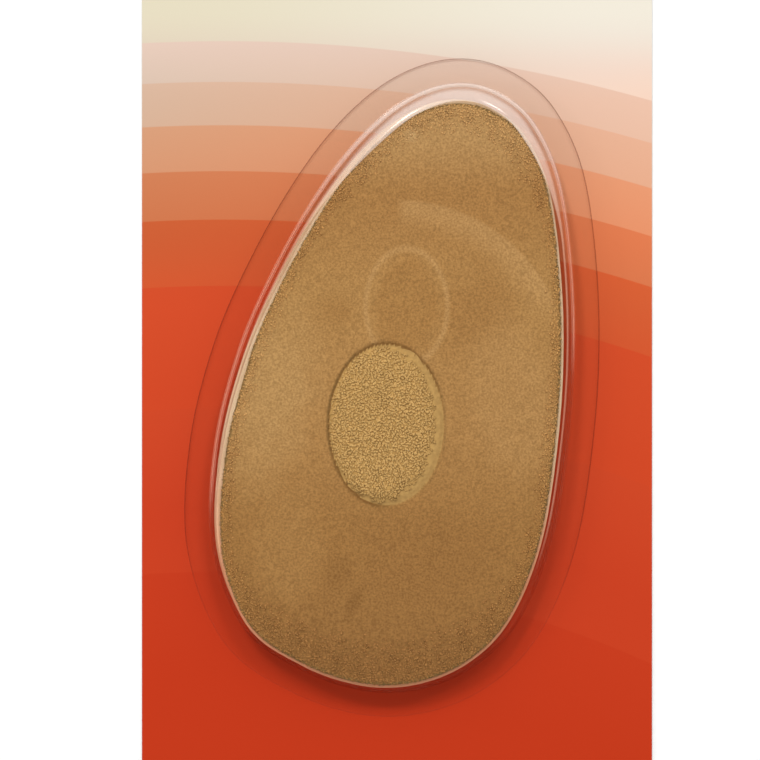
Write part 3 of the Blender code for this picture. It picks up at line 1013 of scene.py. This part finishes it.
def window_pile(pad, finish):
    """Clumps standing in the window, lengthwise in its lower part, and none where it is pressed smooth."""

    def keep(xy, rng):
        pressed = smoothstep(*PRESSED_SHARES, window_share(xy + PRESSED_SIDE))
        return (window_share(xy) < WINDOW_PILE_SHARE) & (rng.uniform(0, 1, len(xy)) > pressed)

    xy = scattered(pad, WINDOW_CLUMPS[0], seed=11, keep=keep)
    rng = np.random.default_rng(13)
    lengthwise = rng.uniform(0, 1, len(xy)) < smoothstep(*LENGTHWISE_BAND, xy[:, 1]) * LENGTHWISE_SHARE
    heading = np.where(lengthwise, math.pi / 2, rng.uniform(0, 2 * math.pi, len(xy)))
    return pile_piece("window_pile", pad, xy, 21, WINDOW_CLUMPS, finish, heading)


def edge_pile(name, pad, finish, seed):
    """Coarser clumps along the cover's edge, in a wider band at the heel and the toe."""

    def keep(xy, rng):
        heel = smoothstep(*HEEL_BAND, xy[:, 1])
        toe = smoothstep(*TOE_BAND, xy[:, 1])
        band = EDGE_BAND + EDGE_BAND_AT_HEEL * heel + EDGE_BAND_AT_TOE * toe
        depth = pad.inside(xy)
        chance = smoothstep(1.0, 0.1, depth / band) * EDGE_MOST
        return (depth > EDGE_CLEAR) & (rng.uniform(0, 1, len(xy)) < chance)

    xy = scattered(pad, EDGE_CLUMPS[0], seed, keep)
    return pile_piece(name, pad, xy, seed + 1, EDGE_CLUMPS, finish)


def rim_pile(name, pad, finish, seed):
    """Short fibres that fray out at the cover's cut edge."""

    def keep(xy, rng):
        depth = pad.inside(xy)
        return (depth > RIM_FROM) & (depth < RIM_TO)

    xy = scattered(pad, RIM_CLUMPS[0], seed, keep)
    heading = np.arctan2(xy[:, 1], xy[:, 0])
    return pile_piece(name, pad, xy, seed + 1, RIM_CLUMPS, finish, heading)


# The most that an arc takes of a line that is its own, and of one that the next arc needs too
ARC_SHARE = 0.99
SHARED_ARC_SHARE = 0.49


def rounded(corners):
    """A line of (x, y, radius) corners as points, each corner with a radius turned into an arc."""
    points = [np.array(corners[0][:2])]
    used = 0.0
    for before, corner, after in zip(corners, corners[1:], corners[2:]):
        here = np.array(corner[:2])
        back = np.array(before[:2]) - here
        on = np.array(after[:2]) - here
        back_length, on_length = np.linalg.norm(back), np.linalg.norm(on)
        back, on = back / back_length, on / on_length
        half = math.acos(np.clip(back @ on, -1.0, 1.0)) / 2
        on_share = ARC_SHARE if after is corners[-1] else SHARED_ARC_SHARE
        cut = min(corner[2] / math.tan(half), ARC_SHARE * (back_length - used), on_share * on_length)
        used = cut
        radius = cut * math.tan(half)
        centre = here + (back + on) / np.linalg.norm(back + on) * radius / math.sin(half)
        start, end = here + back * cut - centre, here + on * cut - centre
        span = math.acos(np.clip(start @ end / radius**2, -1.0, 1.0))
        for step in range(ARC_STEPS + 1):
            share = step / ARC_STEPS
            weights = math.sin((1 - share) * span), math.sin(share * span)
            points.append(centre + (start * weights[0] + end * weights[1]) / math.sin(span))
    points.append(np.array(corners[-1][:2]))
    return points


def shell_corners(crest, depth, shoulder):
    """The blister's section from flange to top, depth below its face: inset from the foot, height, radius."""
    slope = math.tan(WALL_DRAFT)
    ledge = crest * LEDGE_SHARE
    ledge_inset = ledge * slope
    top_inset = ledge_inset + LEDGE_WIDTH + (crest - ledge) * slope
    cut = CUT_SLOPE * (1 - depth / SHEET)
    bead = cut - FLANGE_WIDTH
    return (
        (bead, -depth, 0.0),
        (bead + BEAD_WIDTH * 0.5, BEAD_HEIGHT - depth, BEAD_WIDTH * 0.5),
        (bead + BEAD_WIDTH, -depth, BEAD_WIDTH * 0.5),
        (depth, -depth, FOOT_ROUND + depth),
        (ledge_inset + depth, ledge - depth, LEDGE_ROUND),
        (ledge_inset + LEDGE_WIDTH + depth, ledge - depth, LEDGE_ROUND),
        (top_inset + depth, crest - depth, shoulder - depth),
        (top_inset + shoulder * 1.05, crest - depth, 0.0),
    )


def blister_piece(pad, finish, cut_finish):
    """The thermoformed shell, its section lofted round the foot and on over the crowned top to the window."""
    low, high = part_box("blister")
    crest = high.z - CROWN * (1 - CROWN_LOSS) - (low.z + SHEET)
    room = np.array((ROOM_ACROSS, ROOM_ALONG))
    foot = pad.outline - FRONT_SLIP + pad.normals * room
    foot = evenly(foot, SPOKES)
    normals = normals_of(foot)
    at_toe = smoothstep(*TOE_SHOULDER_BAND, foot[:, 1])
    skins = []
    for depth in (0.0, SHEET):
        skin = []
        at_side = rounded(shell_corners(crest, depth, SHOULDER_ROUND))
        softer = rounded(shell_corners(crest, depth, SHOULDER_ROUND_AT_TOE))
        for side_point, toe_point in zip(at_side, softer):
            inset, height = side_point[:, None] + (toe_point - side_point)[:, None] * at_toe
            skin.append(np.column_stack([foot - normals * inset[:, None], height]))
        rim = skin[-1][:, :2]
        reach = np.linalg.norm(rim, axis=1)
        direction = rim / reach[:, None]
        window = 1 / np.hypot(direction[:, 0] / (WINDOW_WIDTH / 2), direction[:, 1] / (WINDOW_LENGTH / 2))
        for share in np.linspace(0.0, 1.0, SHELL_FACE_STEPS + 1)[1:]:
            radius = reach + (window - reach) * share
            height = crest - depth + CROWN * (1 - (radius / reach) ** 2)
            skin.append(np.column_stack([direction * radius[:, None], height]))
        skins.append(skin)
    rings = skins[0] + skins[1][::-1]
    shift = np.array((*pad.middle, low.z + SHEET))
    piece = lofted("blister_shell", [ring + shift for ring in rings], finish, closed=True)
    piece.data.materials.append(cut_finish)
    trim_edges(piece.data, len(skins[0]), len(rings))
    return finished(piece, ["blister"])


def trim_edges(mesh, top_rings, all_rings):
    """Makes the shell's cut edges sharp, and gives the flange's its own finish."""
    bands = np.repeat(np.arange(all_rings), SPOKES)
    mesh.polygons.foreach_set("material_index", (bands == all_rings - 1).astype(np.int32))
    ends = np.empty(len(mesh.edges) * 2, dtype=np.int32)
    mesh.edges.foreach_get("vertices", ends)
    ring_of = ends.reshape(-1, 2) // SPOKES
    cut_rings = (0, top_rings - 1, top_rings, all_rings - 1)
    sharp = (ring_of[:, 0] == ring_of[:, 1]) & np.isin(ring_of[:, 0], cut_rings)
    mesh.attributes.new("sharp_edge", "BOOLEAN", "EDGE").data.foreach_set("value", sharp)


# Stage


FLOOR_HALF = 3.0
FLOOR_DROP = 0.05 * MM
WARM_WHITE = (1.0, 0.99, 0.97)
LIGHTS = (
    # name, place, size, power, colour
    ("left_key", (-0.28, 0.56, 0.95), 0.12, 4.4, WARM_WHITE),
    ("right_key", (0.28, 0.56, 0.95), 0.12, 3.2, WARM_WHITE),
    ("left_glint", (-0.5, -0.02, 0.42), 0.04, 0.25, (1.0, 1.0, 1.0)),
)


def area_light(name, place, size, power, colour):
    """A square light that faces the middle of the card."""
    data = bpy.data.lights.new(name, "AREA")
    data.size = size
    data.energy = power
    data.color = colour
    light = linked(name, data)
    light.location = place
    light.rotation_euler = (-light.location).to_track_quat("-Z", "Y").to_euler()


def stage(face_height):
    camera_data = bpy.data.cameras.new("camera")
    camera_data.sensor_width = SENSOR
    card_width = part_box("card")[1].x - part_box("card")[0].x
    frame_width = card_width * PHOTO_PIXELS / CARD_PIXELS
    camera_data.lens = SENSOR * CAMERA_DISTANCE / frame_width
    camera = linked("camera", camera_data)
    camera.location = (*PHOTO_CENTRE, face_height + CAMERA_DISTANCE)
    bpy.context.scene.camera = camera

    flat = ((-1, -1), (1, -1), (1, 1), (-1, 1))
    corners = np.array([(x * FLOOR_HALF, y * FLOOR_HALF, -FLOOR_DROP) for x, y in flat])
    floor = mesh_object("floor", corners, [[0, 1, 2, 3]], floor_material())

    bpy.context.scene.world = studio_world()
    for light in LIGHTS:
        area_light(*light)
    bpy.context.scene.view_settings.view_transform = "Standard"


WORLD_LIGHT = 0.87
OVERHEAD_SHARE = 0.2
DIMMING = (0.75, 0.98)


def studio_world():
    """White all round and dim overhead, so that the clear sheet mirrors little into the camera above it."""
    world = bpy.data.worlds.new("studio")
    world.use_nodes = True
    tree = world.node_tree
    place = tree.nodes.new("ShaderNodeTexCoord")
    parts = tree.nodes.new("ShaderNodeSeparateXYZ")
    dim = tree.nodes.new("ShaderNodeMapRange")
    tree.links.new(place.outputs["Generated"], parts.inputs[0])
    tree.links.new(parts.outputs["Z"], dim.inputs["Value"])
    dim.inputs["From Min"].default_value, dim.inputs["From Max"].default_value = DIMMING
    dim.inputs["To Min"].default_value = WORLD_LIGHT
    dim.inputs["To Max"].default_value = WORLD_LIGHT * OVERHEAD_SHARE
    background = tree.nodes["Background"]
    background.inputs["Color"].default_value = (1.0, 1.0, 1.0, 1.0)
    tree.links.new(dim.outputs[0], background.inputs["Strength"])
    return world


def main():
    face_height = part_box("card")[1].z
    stage(face_height)
    front = Pad("front_cover", "front_cushion", side=1, swell=simulated_swell())
    back = Pad("back_cover", "back_cushion", side=-1, swell=None)

    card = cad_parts["card"]
    card.data.materials.clear()
    card.data.materials.append(card_material(face_height))

    foam = foam_material()
    face_pile = face_pile_material(front)
    deep_in_window = window_pile_material("pile_deep_in_window", front, DEEP_PILE)
    pile_in_window = window_pile_material("pile_in_window", front, HIGH_PILE)
    edge_finish = edge_pile_material(front)
    rim_finish = rim_pile_material()
    foam_piece("front_foam", front, "front_cushion", foam)
    foam_piece("back_foam", back, "back_cushion", foam)
    cover_piece("front_pile_base", front, "front_cover", [face_pile, deep_in_window])
    cover_piece("back_pile_base", back, "back_cover", [face_pile])
    window_pile(front, pile_in_window)
    edge_pile("front_edge_pile", front, edge_finish, seed=31)
    rim_pile("front_rim_pile", front, rim_finish, seed=33)
    rim_pile("back_rim_pile", back, rim_finish, seed=35)
    blister_piece(front, clear_material(), cut_edge_material())

    write_sizes()


def write_sizes():
    bpy.context.view_layer.update()


main()
